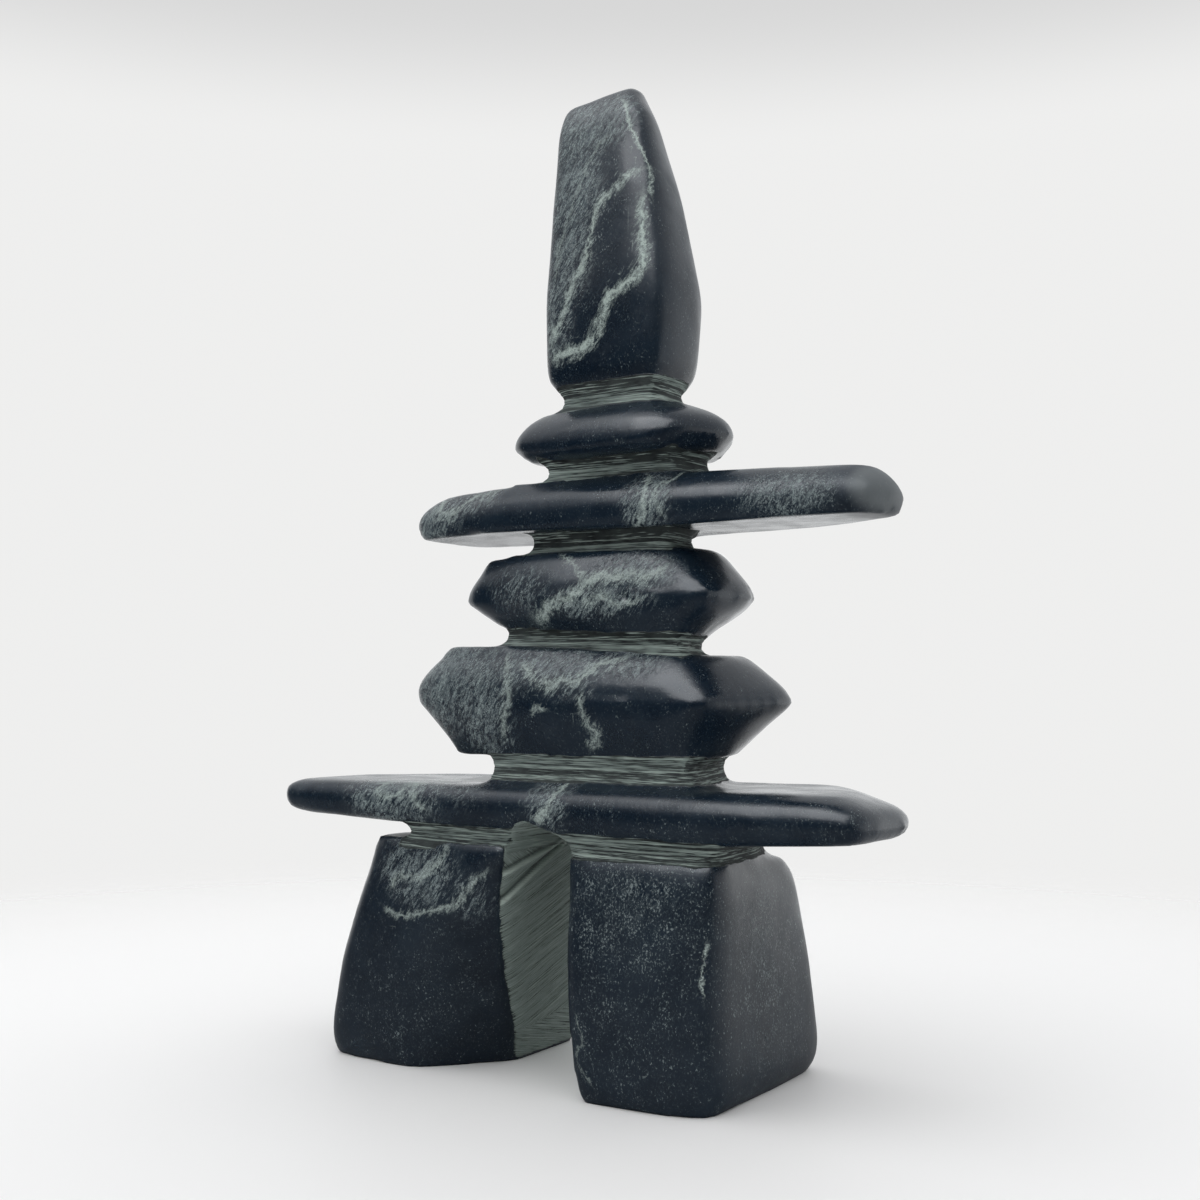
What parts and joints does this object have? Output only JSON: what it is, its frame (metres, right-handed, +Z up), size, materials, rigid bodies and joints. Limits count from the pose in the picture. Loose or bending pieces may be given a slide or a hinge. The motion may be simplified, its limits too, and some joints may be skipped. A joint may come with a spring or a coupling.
{
  "type": "stone cairn figure",
  "caption": "Carved stone cairn in human form: two legs, long slab, lens-shaped stones, arm slab and tall head, cut from a single block.",
  "frame": {"origin": "on the ground, at the middle of the figure's bounding box seen from above", "axes": "+Z up the figure, +X to the right as seen from the front, front facing -Y, back facing +Y"},
  "size_m": [0.1724, 0.0624, 0.2538],
  "materials": {
    "serpentine": "polished, rasped in the necks and the arch"
  },
  "bodies": {
    "root": {"stone_cairn": "serpentine"}
  },
  "joints": []
}
